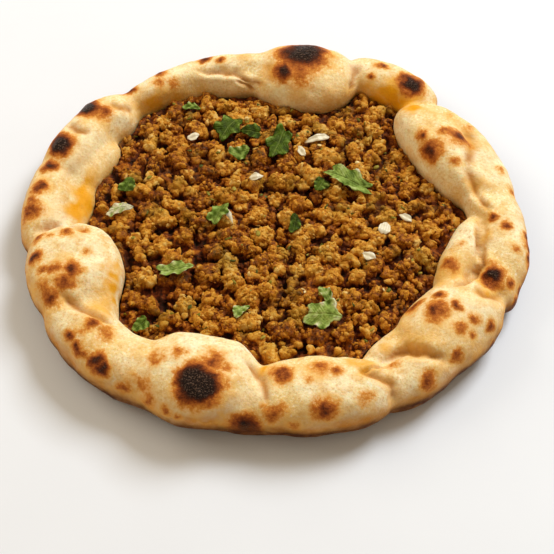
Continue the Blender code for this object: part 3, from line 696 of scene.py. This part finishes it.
def leaf_shell(row, number, around=84, across=12):
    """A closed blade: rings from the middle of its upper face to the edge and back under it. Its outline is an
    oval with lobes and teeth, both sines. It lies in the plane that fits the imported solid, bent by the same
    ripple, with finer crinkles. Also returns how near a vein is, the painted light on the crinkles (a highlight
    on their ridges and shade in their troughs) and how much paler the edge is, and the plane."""
    middle, length, turn, teeth = row[:2], row[2], math.radians(row[4]), row[5]
    lay = axes(turn) * row[2:4, None] / 2
    phi = np.linspace(0, 2 * math.pi, around, endpoint=False)
    lobe = 1 + LEAF_TOOTH * (np.cos(teeth * phi + number) - LEAF_SKEW * np.cos(2 * phi + 2 * number))
    lobe += LEAF_NOTCH * np.abs(np.sin(teeth * 1.5 * phi + 2 * number)) + LEAF_FRINGE * np.sin(17 * phi + number)
    share = np.concatenate([np.linspace(0.04, 1, across), np.linspace(1, 0.04, across)[1:]])[:, None]

    def bend(place):
        u, v = place[..., 0], place[..., 1]
        return LEAF_WAVE * length * (np.sin(2.3 * u + number) + 0.7 * v**2 + 0.5 * np.sin(3.1 * v + 2 * number))

    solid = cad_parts[f"leaf_{number}"].data
    points = np.array([vert.co for vert in solid.vertices]) * METRE
    off = points[:, :2] - middle
    flat = points[:, 2] - bend(off @ np.linalg.inv(lay))
    fit = np.linalg.lstsq(np.column_stack([off, np.ones(len(off))]), flat, rcond=None)[0]
    place = polar(phi, share * lobe, 0.0)[..., :2]
    plan = place @ lay
    u, v = place[..., 0], np.abs(place[..., 1])
    crinkle = CRINKLES[0] * length * v**1.5 * np.sin(8 * u + 3 * v + number)
    crinkle += CRINKLES[1] * np.sin(1.5 * plan[..., 0] + number) * np.cos(1.2 * plan[..., 1])
    vein = np.exp(-((v / 0.05) ** 2)) + 0.6 * np.exp(-(((6 * u + 4 * v) % 1.0 - 0.5) / 0.12) ** 2) * (share < 0.9)
    side = np.sign(across - 1 - np.arange(2 * across - 1))[:, None]  # 1 on the upper face, -1 under it
    z = fit[2] + plan @ fit[:2] + bend(place) + CRINKLE_DEPTH * crinkle - VEIN_DEPTH * vein * (side > 0) + LEAF_LIFT
    z += 0.5 * LEAF_THICKNESS * side * np.sqrt(1 - 0.75 * share**2)
    # painted highlight on the crinkles' ridges and painted shade in their troughs, with the edge paler
    lit = 0.2 * crinkle / max(0.5, 0.05 * length) + 0.12 * share**5
    return np.concatenate([plan + middle, z[..., None]], -1), np.clip(vein, 0, 1), lit, fit


toppings = []  # what lies on the mince: x, y, half length, half width, turn, height of its plane and its slopes
for number, row in enumerate(centred(LEAVES), 1):
    rings, vein, lit, fit = leaf_shell(row, number)
    x, y, length, width, turn = row[:5]
    toppings.append((x, y, 0.55 * length, 0.55 * width, turn, fit[2] - LEAF_WAVE * length - 0.2, *fit[:2]))
    mesh = closed_mesh(f"coriander_{number}", [rings])
    paint_on(mesh, "vein", np.append(vein, [0, 0]))
    # the leaf's own paleness, with the painted highlight and shade of its crinkles added
    paint_on(mesh, "pale", row[6] + np.append(lit, [0, 0]))
    piece(mesh.name, mesh, blade, "leaf", f"leaf_{number}")

# The keema: minced lamb fried with onion and spices until it is nearly dry, and spooned over the base. It clings
# together in rough clumps of grains, oily and golden on top, and painted shade darkens the gaps between them almost
# to black. Each clump lies where the imported solid has its own, and a bed of grains fills the floor between.
FILLING_GAP = 0.7
FILLING_LEVELS = (5.2, 8.0, 11.0)
FILLING_CROWN = 2.0  # how much higher the middle is than the edge
FILLING_RADIUS = 100.0
CLUMP_SIZES = (7.2, 6.2, 5.0, 3.2)
CLUMP_JITTER = (-0.6, 0.9)  # in height
CLUMP_REACH = 1.2  # how much of its radius a clump keeps from the bread
CLUMPS_APART = 0.885  # and of their radii from one another
CLUMP_UNEVEN = (0.95, 1.12)
CLUMP_STRETCH = (1.12, 0.95)
CLUMP_FLATTENING = 0.8
CLUMP_TRIES = 9000
CLUMP_SEED = 7
HEAP_TOP = 20.1  # nothing of the mince stands above this


def bed(r):
    """The level of the bed of mince under the clumps, which rises evenly towards the middle."""
    return FILLING_LEVELS[-1] + FILLING_CROWN * (1 - r / FILLING_RADIUS)


def clump_places(draw):
    """The clumps, the largest first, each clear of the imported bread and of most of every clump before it: rows
    of x, y, height of the middle, and radius."""
    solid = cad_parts["naan"].data
    bread = BVHTree.FromPolygons([vert.co * METRE for vert in solid.vertices],
                                 [face.vertices[:] for face in solid.polygons])
    spot = draw.uniform(-FILLING_RADIUS, FILLING_RADIUS, (CLUMP_TRIES, 2))
    distance = np.hypot(*spot.T)
    size_step = np.linspace(0, 1, len(CLUMP_SIZES))
    radius = np.interp(np.linspace(0, 1, CLUMP_TRIES) ** 0.35, size_step, CLUMP_SIZES)
    rows = np.column_stack([spot, bed(distance) + draw.uniform(*CLUMP_JITTER, CLUMP_TRIES), radius])
    ring = core_radius(np.arctan2(spot[:, 1], spot[:, 0]))
    rows = rows[(distance < ring) & (dough_distance(rows[:, :3], ring) > 0)]
    kept = np.empty((0, 4))
    for row in rows:
        apart = np.hypot(kept[:, 0] - row[0], kept[:, 1] - row[1]) - CLUMPS_APART * (kept[:, 3] + row[3])
        clear = bread.find_nearest(Vector(row[:3]))[3] > CLUMP_REACH * row[3] + FILLING_GAP
        if clear and (apart > 0).all():
            kept = np.vstack([kept, row])
    return kept


def ball(around, rings):
    """The points and triangles of a sphere of radius 1: rings at even steps between two poles, each turned by
    half a step against the one above."""
    level = np.linspace(0, math.pi, rings + 2)[1:-1, None]
    bearing = (np.arange(around) + 0.5 * np.arange(rings)[:, None]) * 2 * math.pi / around
    points = polar(bearing, np.sin(level), np.cos(level)).reshape(-1, 3)
    walls, caps = ring_faces(rings, around)
    return (np.concatenate([points, [(0, 0, 1), (0, 0, -1)]]),
            np.concatenate([walls[:, (0, 1, 3)], walls[:, (3, 1, 2)], caps]))


def scattered(name, base, places, half, lay, knobs, tone, shade):
    """Many lumps as one mesh: each is the ball times its half sizes and its knobs, turned and put in its place.
    Each lump keeps its tone, and each point how high it stands, times the shade, for the painted shade of its finish."""
    points, faces = base
    lay = lay * np.sign(np.linalg.det(lay))[:, None, None]
    shape = (points * knobs[..., None] * half[:, None, :]) @ lay.transpose(0, 2, 1) + places[:, None, :]
    shape[..., 2] = np.minimum(shape[..., 2], HEAP_TOP)
    corners = faces + (np.arange(len(places)) * len(points))[:, None, None]
    mesh = mesh_of(name, shape.reshape(-1, 3), corners.reshape(-1, 3))
    paint_on(mesh, "tone", np.repeat(tone, len(points)))
    paint_on(mesh, "height", keema_height(shape.reshape(-1, 3)) * np.broadcast_to(shade, knobs.shape).ravel())
    return mesh


draw = np.random.default_rng(CLUMP_SEED)
clumps = clump_places(draw)
clump_half = clumps[:, 3:] * draw.uniform(*CLUMP_UNEVEN, (len(clumps), 3)) * (1, 1, CLUMP_FLATTENING)
clump_half[:, :2] *= CLUMP_STRETCH
clump_turn = draw.uniform(0, math.pi, len(clumps))
clump_tone = draw.uniform(0, 1, len(clumps))

# Where the slivers of onion lie on the clumps
SLIVERS = (  # x, y, half length, half width, turn, bend along the length, how pointed
    (-45, 58.5, 3.4, 2.2, 20, 0.5, 0.3), (-11, 27.5, 3.4, 2.3, 10, 0.8, 0.5), (22, 56.5, 6.2, 2.2, 18, 1.6, 0.1),
    (13, 46.5, 3.8, 1.9, -60, 0.7, 0.4), (55, -3.5, 4.2, 2.9, 75, 0.9, 0.15), (66, 2.5, 4.1, 1.7, -35, 0.8, 0.5),
    (46, -22.5, 3.6, 2.4, -30, 0.6, 0.6), (-24.5, 2.5, 4.3, 1.5, -72, 1.2, 0.6),
)
SLIVER_THICKNESS = 0.45
SLIVER_TILT = 14.0
SLIVER_REST, SLIVER_LIFT = 0.75, 1.7  # how far up the clump's dome, and how far above that


def lying_on_clump(x, y):
    """Where a sliver lies: most of the way up the clump that is nearest for its size."""
    apart = np.hypot(clumps[:, 0] - x, clumps[:, 1] - y) / clumps[:, 3]
    under = clumps[apart.argmin()]
    dome = under[3] * math.sqrt(max(0.15, 1 - apart.min() ** 2))
    return np.array((x, y, under[2] + SLIVER_REST * dome + SLIVER_LIFT))


slivers = centred(SLIVERS)
sliver_place = np.array([lying_on_clump(*row[:2]) for row in slivers])
toppings += [(x, y, half_length, half_width, turn, z - 0.9, 0, 0)
             for (x, y, half_length, half_width, turn, _, _), z in zip(slivers, sliver_place[:, 2])]


def ceiling(points, margin):
    """How high the mince may stand at each point: up to its top, or to the leaf or sliver that lies over it."""
    limit = np.full(points.shape[:-1], HEAP_TOP)
    for x, y, half_length, half_width, turn, height, *lean in toppings:
        off = points[..., :2] - (x, y)
        place = off @ axes(math.radians(turn)).T / (half_length + margin, half_width + margin)
        limit = np.minimum(limit, np.where((place**2).sum(-1) < 1, height + off @ lean, HEAP_TOP))
    return limit


# The heap's own surface: rings of points from the bread inwards, closed below, each raised to the highest clump
# over it. A spot is first pushed about by smooth noise, so that no clump keeps a round outline, and the surface
# is then drawn out by crumbs that meet in sharp creases.
HEAP_AROUND, HEAP_ACROSS = 680, 138
SIDE_GAP, SIDE_DROP = 0.15, 0.4  # how far the mince is from the bread, and how far below its levels it starts
BED_SINK = 1.8
HEAP_PUSH = ((1.9, 7.0), (0.9, 2.8))  # how far, and the size of the noise that pushes
BED_LUMPS = ((2.9, 9.0), (2.0, 4.2))  # height, size
CRUMB_LUMPS = ((3.0, 4.6), (1.1, 2.0))
CRUMB_SINK = 1.5
CLUMP_TRIM = 0.94  # how wide a dome is over its clump
NOWHERE = -9.0  # a height below everything
HOLLOW_DEPTH = 3.2  # from here on a clump is quite free of the next one
SHADE_REACH = 6.0  # how far the bread's own shade reaches
HEIGHT_FROM, HEIGHT_SPAN, HEIGHT_BESIDE = -1.1, 5.1, 1.5  # over the bed, and what is added next to the bread
bearing = np.linspace(0, 2 * math.pi, HEAP_AROUND, endpoint=False)


def wall_radius(level, steps=40, stride=4.0):
    """Radius at which level rays from the middle come up to the dough."""
    r = np.full(HEAP_AROUND, FILLING_RADIUS / 3)
    ring = core_radius(bearing)
    for _ in range(steps):
        r = r + np.minimum(dough_distance(polar(bearing, r, level), ring) - SIDE_GAP, stride)
    return r


sides = [polar(bearing, wall_radius(level), level - SIDE_DROP) for level in FILLING_LEVELS]
edge_radius = np.hypot(sides[-1][:, 0], sides[-1][:, 1])
r = np.linspace(1, 0.01, HEAP_ACROSS)[:, None] * edge_radius
top = polar(bearing, r, 0.0)


def sharp(points, size, seed, power=0.7):
    """Bulges from 0 to 1 that meet in creases: a power of the size of smooth noise."""
    return np.abs(lumps(points, size, seed)) ** power


ground = bed(r) + layered(top, BED_LUMPS, 51, form=sharp) - BED_SINK
spot = top[..., :2] + np.stack([layered(top, HEAP_PUSH, seed, 2) for seed in (60, 61)], -1)
highest, second, whose = ground, ground + NOWHERE, np.full(r.shape, -1)
for n, (middle, half, turn) in enumerate(zip(clumps[:, :3], clump_half, clump_turn)):
    away = (((spot - middle[:2]) @ axes(turn).T / (CLUMP_TRIM * half[:2])) ** 2).sum(-1)
    dome = np.where(away < 1, middle[2] + half[2] * np.sqrt(np.clip(1 - away, 0, 1)), NOWHERE)
    second = np.maximum(second, np.minimum(highest, dome))
    whose = np.where(dome > highest, n, whose)
    highest = np.maximum(highest, dome)
top[..., 2] = highest
facing = -outward(top)
facing *= np.sign(facing[..., 2:])
crumbs = [sharp(top, size, 81 + i, 1.1 - 0.4 * i) for i, (_, size) in enumerate(CRUMB_LUMPS)]
drawn_out = sum(height * crumb for (height, _), crumb in zip(CRUMB_LUMPS, crumbs)) - CRUMB_SINK
wall_fade = np.clip((edge_radius - r) / 1.5, 0, 1)
top += facing * (drawn_out * (0.3 + 0.7 * wall_fade))[..., None]
top[..., 2] = np.minimum(top[..., 2], ceiling(top, 0.5))
# painted shade: low between clumps and in the crumbs' creases, and a little lower next to the bread
painted_light_share = np.clip((highest - second) / HOLLOW_DEPTH, 0, 1) * 0.65 + 0.35 * crumbs[0] + 0.35 * crumbs[1] + 0.18
painted_light_share *= 0.8 + 0.2 * np.clip((edge_radius - r) / SHADE_REACH, 0, 1)
heap_tone = np.where(whose < 0, 0.2, clump_tone[whose]) * 0.6 + 0.2

# The grains: crumbs lying all over that surface, sunk in it by a part of their size
GRAINS = 9000
GRAIN_RADIUS = (0.65, 1.05, 1.6, 2.4)  # from the finest to the coarsest
GRAIN_SINK = (0.2, 0.75)
GRAIN_CLOUDS = 11.0  # they lie thick in some places and thin in others, over this size
thick = r * np.clip(0.75 + 0.9 * lumps(top, GRAIN_CLOUDS, 91), 0.15, 1.2)
thick *= np.where(whose < 0, 0.5, 1.0)
host = draw.choice(r.size, GRAINS, replace=False, p=(thick / thick.sum()).ravel())
all_radius = np.interp(draw.uniform(0, 1, GRAINS) ** 1.2, (0, 0.45, 0.85, 1), GRAIN_RADIUS)
all_places = top.reshape(-1, 3)[host]
all_places = all_places - facing.reshape(-1, 3)[host] * (draw.uniform(*GRAIN_SINK, GRAINS) * all_radius)[:, None]
all_tone = 0.6 * heap_tone.ravel()[host] + 0.45 * draw.uniform(0, 1, GRAINS)
all_shade = 0.25 + 0.85 * painted_light_share.ravel()[host]
room = dough_distance(all_places, core_radius(np.arctan2(all_places[:, 1], all_places[:, 0])))
clear = (room > 0.3 * all_radius) & (all_places[:, 2] + 1.4 * all_radius < ceiling(all_places, 1.2))
all_places, all_radius, all_tone, all_shade = (a[clear] for a in (all_places, all_radius, all_tone, all_shade))


def keema_height(places):
    """How high a place stands over the bed, from 0 in the gaps to 1 on the clumps, for the painted shade that
    darkens the gaps. Next to the bread, where the mince lies low and open, it counts as a little higher, so that
    less painted shade falls there."""
    r = np.hypot(places[:, 0], places[:, 1])
    wall = np.interp(np.arctan2(places[:, 1], places[:, 0]), bearing, edge_radius, period=2 * math.pi)
    beside = np.clip(1 - (wall - r) / SHADE_REACH, 0, 1)
    return np.clip((places[:, 2] - bed(r) - HEIGHT_FROM + HEIGHT_BESIDE * beside) / HEIGHT_SPAN, 0, 1)


fried = Finish("fried mince")
fine, middling, broad = fried.speckle(0.9, 4, 0.7), fried.speckle(3.2, 3, 0.6), fried.speckle(16.0, 2, 0.5)
height = fried.kept("height")
meat = (fried.kept("tone") + (fine - 0.5) * 0.9 + (middling - 0.5) * 1.6).ramp(
    (0.0, (74, 28, 4)), (0.25, (134, 68, 9)), (0.5, (192, 121, 25)), (0.75, (215, 156, 55)), (1.0, (224, 182, 104)))
meat = meat.stained(broad, 0.52, 0.68, 0.5, (156, 126, 40))  # the herby parts
# painted shade: the mince multiplied down almost to black where it stands low, in the gaps
gap_shade = (height + middling * 0.3).ramp(
    (0.12, (54, 17, 2)), (0.42, (138, 84, 38)), (0.70, (236, 210, 172)), (0.94, (255, 255, 255)))
rough = middling.remap(0.35, 0.65, 0.40, 0.65) + height.remap(0.10, 0.50, 0.35, 0.0)
fried.show(meat.under(1.0, gap_shade, "MULTIPLY"), rough, middling * 0.6 + fine, 0.7, 0.0009,
           {"Specular IOR Level": 0.3, "Specular Tint": (1.0, 0.80, 0.52, 1)})

ends = [(0, 0, FILLING_LEVELS[0] - SIDE_DROP), (0, 0, top[-1, :, 2].mean())]
heap_mesh = closed_mesh("keema_heap", [np.concatenate([np.array(sides), top])], ends, upward=True)
# painted shade: how high each point stands, times its share of painted light, kept as its height
painted_shade_height = keema_height(top.reshape(-1, 3)) * painted_light_share.ravel()
for kept_as, values in (("height", painted_shade_height), ("tone", heap_tone.ravel())):
    paint_on(heap_mesh, kept_as, np.concatenate([np.zeros(len(sides) * HEAP_AROUND), values, [0, values[-1]]]))
piece("keema_heap", heap_mesh, fried, "mince", "keema")

# Slivers of raw onion, strewn on the keema: thin white chips, curved, with thinner edges and cut ends. They lie
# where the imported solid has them, fused on its clumps.
CUTS = ((0.10, 2, 1), (0.09, 3, 2), (0.04, 8, 1))  # how deep, how many round the edge, how far round they start


def chip(row, number, place, around=44, across=8):
    """A thin closed flake: rings from the middle of its upper face over a cut edge to the middle of its lower
    one. Its outline is an oval narrowed by cos^2 towards its ends, with uneven cuts, and it bends down to both
    ends as a parabola."""
    _, _, half_length, half_width, turn, bend, point = row
    phi = np.linspace(0, 2 * math.pi, around, endpoint=False)
    cuts = 1 + sum(depth * np.sin(many * phi + start * number) for depth, many, start in CUTS)
    along = half_length * np.cos(phi) * cuts
    width = half_width * np.sin(phi) * cuts * (1 - point * np.cos(phi) ** 2)
    face = np.linspace(0.05, 0.94, across)
    share = np.concatenate([face, [0.99, 1.0, 0.99], face[::-1]])[:, None]
    side = np.concatenate([np.ones(across), [0.8, 0, -0.8], -np.ones(across)])[:, None]
    x, y = share * along, share * width
    z = 0.5 * SLIVER_THICKNESS * side - bend * (x / half_length) ** 2
    z = z + 0.22 * np.sin(1.3 * x + number) + 0.15 * np.sin(2.4 * y + 2 * number)
    tilt, lie = math.radians(SLIVER_TILT), math.radians(turn)
    y, z = y * math.cos(tilt) - z * math.sin(tilt), y * math.sin(tilt) + z * math.cos(tilt)
    x, y = x * math.cos(lie) - y * math.sin(lie), x * math.sin(lie) + y * math.cos(lie)
    return np.stack([x, y, z], -1) + place


onion = Finish("raw onion")
streak, cloud = onion.speckle(1.6, 3, 0.6, 0.6), onion.speckle(4.5, 2)
white = streak.ramp((0.0, (206, 192, 160)), (1.0, (238, 230, 210))).stained(cloud, 0.5, 0.75, 0.5, (214, 196, 150))
onion.show(white, streak.remap(0.3, 0.7, 0.28, 0.45), streak, 0.35, 0.0004)
shells = [chip(row, n, place) for n, (row, place) in enumerate(zip(slivers, sliver_place))]
piece("onion_slivers", closed_mesh("onion_slivers", shells), onion, "mince", "keema")

# The loose grains of the mince, strewn over the heap and clinging to it: crumbs with a few broken faces. None
# stands in a leaf or a sliver or lies on one.
GRAINS_A_PIECE = 4000
GRAIN_SHAPE = ((1.15, 0.8, 0.6), (2.0, 1.25, 0.95))  # half sizes over the radius, from and to
BREAKS = 5
BREAK_PLACE = (0.5, 0.9)  # how far from the middle
GRAIN_ROUGHNESS = 0.10


def broken(draw, count, points):
    """How far out each point of each crumb lies: a ball cut back to a few planes that face random ways."""
    ways = unit(draw.normal(size=(count, BREAKS, 3)))
    cut = draw.uniform(*BREAK_PLACE, (count, BREAKS, 1))
    towards = np.einsum("cbk,pk->cbp", ways, points)
    kept = np.where(towards > cut, cut / np.maximum(towards, 1e-9), 1.0).min(1)
    return kept * (1 + GRAIN_ROUGHNESS * draw.uniform(-1, 1, kept.shape))


order = np.argsort(-all_radius)
small_ball = ball(8, 3)
for n, first in enumerate(range(0, len(order), GRAINS_A_PIECE), 1):
    some = order[first : first + GRAINS_A_PIECE]
    half = all_radius[some, None] * draw.uniform(*GRAIN_SHAPE, (len(some), 3))
    knobs = broken(draw, len(some), small_ball[0])
    lay = np.linalg.qr(draw.normal(size=(len(some), 3, 3)))[0]  # any way round
    mesh = scattered(f"keema_grains_{n}", small_ball, all_places[some], half, lay, knobs, all_tone[some],
                     all_shade[some, None])
    piece(mesh.name, mesh, fried, "mince", "keema")

# Chopped herbs and onion cooked into the keema: flecks of dull green and bits of pale onion, pressed in between
# the grains and lying on top of them.
FLECKS, FLECK_HALF = 110, (1.7, 0.9, 0.35)
ONION_BITS, ONION_BIT_HALF = 26, (1.5, 1.1, 0.4)
BIT_HOST, BIT_LIFT = 1.0, 0.85  # least radius of the grain that carries one, and how far up that grain it lies
BIT_UNEVEN, BIT_LEAN, BIT_KNOBS = (0.7, 1.35), 0.35, 0.22


def pressed_in(name, count, half, finish, slot):
    """Flat bits laid on grains picked at random: a ball with few sides, flattened and turned about upright."""
    host = draw.choice(np.flatnonzero(all_radius > BIT_HOST), count, replace=False)
    place = all_places[host] + (0, 0, BIT_LIFT) * all_radius[host, None]
    size = np.array(half) * draw.uniform(*BIT_UNEVEN, (count, 3))
    lean = draw.normal(0, BIT_LEAN, (count, 2))
    yaw = draw.uniform(0, 2 * math.pi, count)
    long_side = unit(polar(yaw, 1.0, lean[:, 0]))
    wide_side = unit(np.cross(np.column_stack([lean[:, ::-1], np.ones(count)]), long_side))
    lay = np.stack([long_side, wide_side, np.cross(long_side, wide_side)], -1)
    knobs = 1 + BIT_KNOBS * draw.uniform(-1, 1, (count, len(small_ball[0])))
    mesh = scattered(name, small_ball, place, size, lay, knobs, draw.uniform(0, 1, count), 1.0)
    piece(name, mesh, finish, slot, "keema")


herb = Finish("cooked herbs")
fine = herb.speckle(0.7)
green = (herb.kept("tone") + fine * 0.2).ramp(
    (0.1, (52, 48, 6)), (0.45, (88, 80, 14)), (0.8, (128, 112, 30)), (1.0, (158, 136, 54)))
herb.show(green, fine.remap(0.3, 0.7, 0.35, 0.6), fine, 0.5, 0.0003, {"Specular Tint": (0.75, 1.0, 0.35, 1)})
pressed_in("herb_flecks", FLECKS, FLECK_HALF, herb, "leaf")

soft_onion = Finish("fried onion")
fine = soft_onion.speckle(0.9)
amber = (soft_onion.kept("tone") + fine * 0.3).ramp(
    (0.1, (196, 144, 58)), (0.6, (214, 170, 84)), (1.0, (226, 196, 128)))
soft_onion.show(amber, fine.remap(0.3, 0.7, 0.25, 0.45), fine, 0.4, 0.0003)
pressed_in("fried_onion_bits", ONION_BITS, ONION_BIT_HALF, soft_onion, "mince")

# The table under the bread: a plain pale sheet that isn't part of the food. Two square lamps stand over it and
# are turned to the bread's middle: a cool one behind on the right and a weak warm one on the left.
TABLE_REACH, TABLE_DROP = 3000.0, 0.3
LAMP_SIZE = 0.9  # metres, as are the lamps' places
corners = np.array(((-1, -1, 0), (1, -1, 0), (1, 1, 0), (-1, 1, 0))) * TABLE_REACH - (0, 0, TABLE_DROP)
floor_mesh = mesh_of("table", corners, np.array([(0, 1, 2, 3)]))
table = bpy.data.objects.new("table", floor_mesh)
bpy.context.scene.collection.objects.link(table)
sheet = Finish("pale table")
sheet.show(sheet.speckle(60.0, 2).ramp((0.0, (230, 233, 246)), (1.0, (234, 237, 250))), 0.6)
floor_mesh.materials.append(sheet.material)

for name, place, energy, colour in (("key", (1.06, 1.14, 1.52), 44.5, (0.95, 1.0, 0.98)),
                                    ("fill", (-0.95, 0.45, 0.72), 6.0, (1.0, 0.9, 0.70))):
    lamp = bpy.data.lights.new(name, "AREA")
    lamp.energy, lamp.size, lamp.color = energy, LAMP_SIZE, colour
    made = bpy.data.objects.new(name, lamp)
    bpy.context.scene.collection.objects.link(made)
    made.location = place
    made.rotation_euler = (-Vector(place)).to_track_quat("-Z", "Y").to_euler()
world = bpy.data.worlds.new("studio")
bpy.context.scene.world = world
world.use_nodes = True
feed(world.node_tree, world.node_tree.nodes["Background"], {"Color": (1.0, 0.83, 0.56, 1), "Strength": 0.41})
